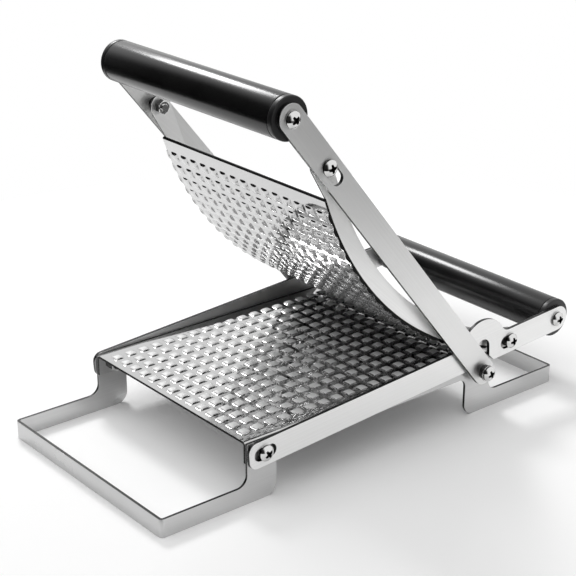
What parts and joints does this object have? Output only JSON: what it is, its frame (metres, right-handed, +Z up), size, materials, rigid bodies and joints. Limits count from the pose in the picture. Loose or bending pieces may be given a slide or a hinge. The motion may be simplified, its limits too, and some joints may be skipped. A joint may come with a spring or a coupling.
{
  "type": "meat tenderizer press",
  "caption": "Rocking kitchen press: a curved studded plate hangs between two crossed lever pairs with round grips, over a flat studded plate on a bent strip frame.",
  "frame": {"origin": "under the middle of the overall box at rest, on the surface that the press stands on", "axes": "+Z up, +X across the press along the grips, +Y from the front loop to the rear grip"},
  "size_m": [0.1872, 0.3366, 0.2427],
  "materials": {
    "frame_steel": "satin stainless steel strip",
    "plate_steel": "bright stamped stainless steel",
    "arm_steel": "satin stainless steel",
    "hardware_steel": "polished steel",
    "grip_black": "glossy black",
    "cap_black": "semi-gloss black"
  },
  "bodies": {
    "base": {"base_frame": "frame_steel", "base_plate": "plate_steel", "front_pivot_screws": "hardware_steel", "front_pivot_bushes": "hardware_steel", "front_pivot_nuts": "hardware_steel", "rear_pivot_screws": "hardware_steel", "rear_pivot_bushes": "hardware_steel", "rear_pivot_spacers": "hardware_steel", "rear_pivot_washers": "hardware_steel", "rear_pivot_nuts": "hardware_steel"},
    "front_lever": {"front_arm_right": "arm_steel", "front_arm_left": "arm_steel", "front_grip": "grip_black", "front_grip_rod": "hardware_steel", "front_grip_cap_right": "cap_black", "front_grip_cap_left": "cap_black", "front_handle_screws": "hardware_steel"},
    "rear_lever": {"rear_arm_right": "arm_steel", "rear_arm_left": "arm_steel", "rear_grip": "grip_black", "rear_grip_rod": "hardware_steel", "rear_grip_cap_right": "cap_black", "rear_grip_cap_left": "cap_black", "rear_handle_screws": "hardware_steel"},
    "press": {"press_plate": "plate_steel", "cheek_right": "arm_steel", "cheek_left": "arm_steel", "front_link_screws": "hardware_steel", "front_link_bushes": "hardware_steel", "front_link_nuts": "hardware_steel", "rear_link_screws": "hardware_steel", "rear_link_bushes": "hardware_steel", "rear_link_nuts": "hardware_steel"}
  },
  "joints": [
    {"name": "front_lever_pivot", "type": "hinge", "parent": "base", "child": "front_lever", "pos_m": [0, 0.08304, 0.0315], "axis": [1, 0, 0], "range_deg": [0, 30.9]},
    {"name": "rear_lever_pivot", "type": "hinge", "parent": "base", "child": "rear_lever", "pos_m": [0, -0.09496, 0.0315], "axis": [1, 0, 0], "range_deg": [0, 6.2]},
    {"name": "press_link", "type": "hinge", "parent": "rear_lever", "child": "press", "pos_m": [0, 0.11036, 0.04478], "axis": [1, 0, 0], "range_deg": [0, 27.8]}
  ],
  "couplings": [
    {"joint": "rear_lever_pivot", "follows": "front_lever_pivot", "ratio": 0.2},
    {"joint": "press_link", "follows": "front_lever_pivot", "ratio": 0.898}
  ]
}
